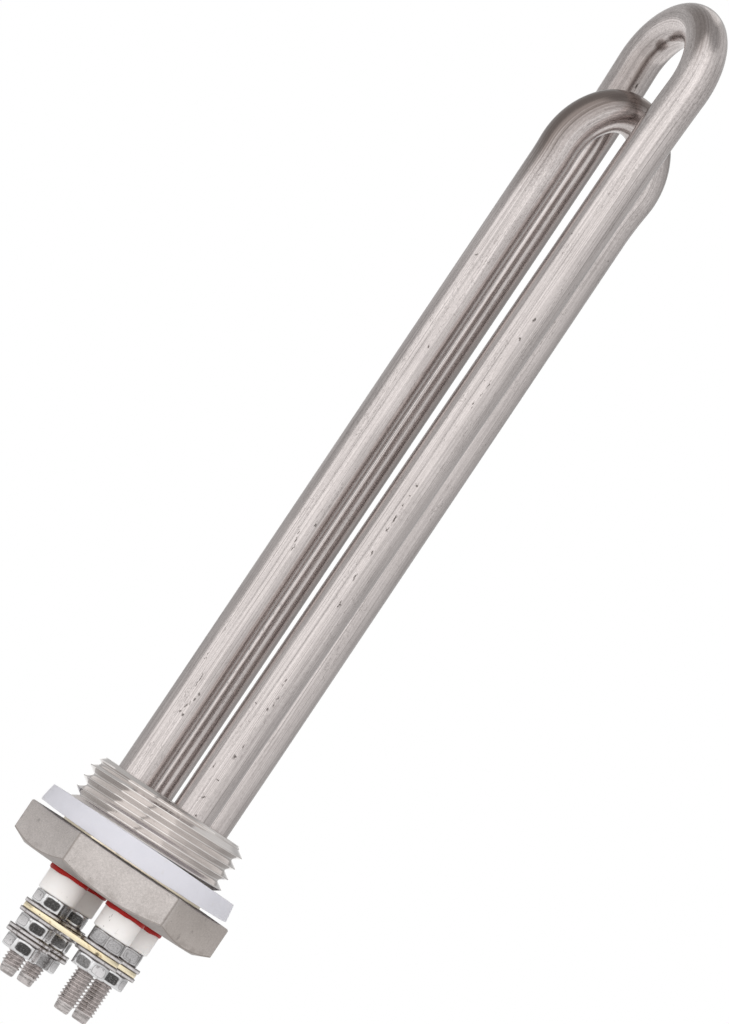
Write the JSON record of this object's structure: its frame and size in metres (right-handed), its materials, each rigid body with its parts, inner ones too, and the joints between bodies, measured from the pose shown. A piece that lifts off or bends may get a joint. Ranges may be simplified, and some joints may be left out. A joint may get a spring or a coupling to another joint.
{
  "type": "screw plug immersion heater",
  "caption": "Immersion heater: crossed hairpin heating tubes brazed in a threaded hexagon plug, with ceramic-insulated stud terminals and jumper strips.",
  "frame": {"origin": "on the plug's axis, in the face of the hexagon that seats the gasket", "axes": "+Z along the plug's axis towards the tips of the hairpins, -Y square to the front flat of the hexagon, +X to the right of it"},
  "size_m": [0.0438, 0.0412, 0.2207],
  "materials": {
    "plug_steel": "machined and lightly blasted, bright on the thread",
    "gasket_ptfe": "waxy bluish white",
    "tube_steel": "satin drawn tube with lengthwise streaks and small pits",
    "magnesia_powder": "packed white powder",
    "coil_alloy": "dull resistance wire",
    "stud_steel": "grey-beige rolled thread",
    "seal_silicone": "matt red",
    "bushing_ceramic": "unglazed warm white",
    "nut_plating": "bright nickel plating",
    "washer_plating": "bright plating, stamped edges",
    "strip_brass": "pale brass with small dark marks"
  },
  "bodies": {
    "root": {"bushing_nut_long_feed": "nut_plating", "bushing_nut_long_link": "nut_plating", "bushing_nut_short_feed": "nut_plating", "bushing_nut_short_link": "nut_plating", "clamp_nut_long_feed": "nut_plating", "clamp_nut_long_link": "nut_plating", "clamp_nut_short_feed": "nut_plating", "clamp_nut_short_link": "nut_plating", "inner_wire_washer_long_feed": "washer_plating", "inner_wire_washer_short_feed": "washer_plating", "jumper_strip_back": "strip_brass", "jumper_strip_front": "strip_brass", "long_coil": "coil_alloy", "long_magnesia": "magnesia_powder", "long_sheath": "tube_steel", "lower_washer_long_feed": "washer_plating", "lower_washer_long_link": "washer_plating", "lower_washer_short_feed": "washer_plating", "lower_washer_short_link": "washer_plating", "outer_wire_washer_long_feed": "washer_plating", "outer_wire_washer_short_feed": "washer_plating", "plug_body": "plug_steel", "plug_gasket": "gasket_ptfe", "short_coil": "coil_alloy", "short_magnesia": "magnesia_powder", "short_sheath": "tube_steel", "terminal_bushing_long_feed": "bushing_ceramic", "terminal_bushing_long_link": "bushing_ceramic", "terminal_bushing_short_feed": "bushing_ceramic", "terminal_bushing_short_link": "bushing_ceramic", "terminal_seal_long_feed": "seal_silicone", "terminal_seal_long_link": "seal_silicone", "terminal_seal_short_feed": "seal_silicone", "terminal_seal_short_link": "seal_silicone", "terminal_stud_long_feed": "stud_steel", "terminal_stud_long_link": "stud_steel", "terminal_stud_short_feed": "stud_steel", "terminal_stud_short_link": "stud_steel", "upper_washer_long_feed": "washer_plating", "upper_washer_long_link": "washer_plating", "upper_washer_short_feed": "washer_plating", "upper_washer_short_link": "washer_plating", "wire_nut_long_feed": "nut_plating", "wire_nut_short_feed": "nut_plating"}
  },
  "joints": []
}
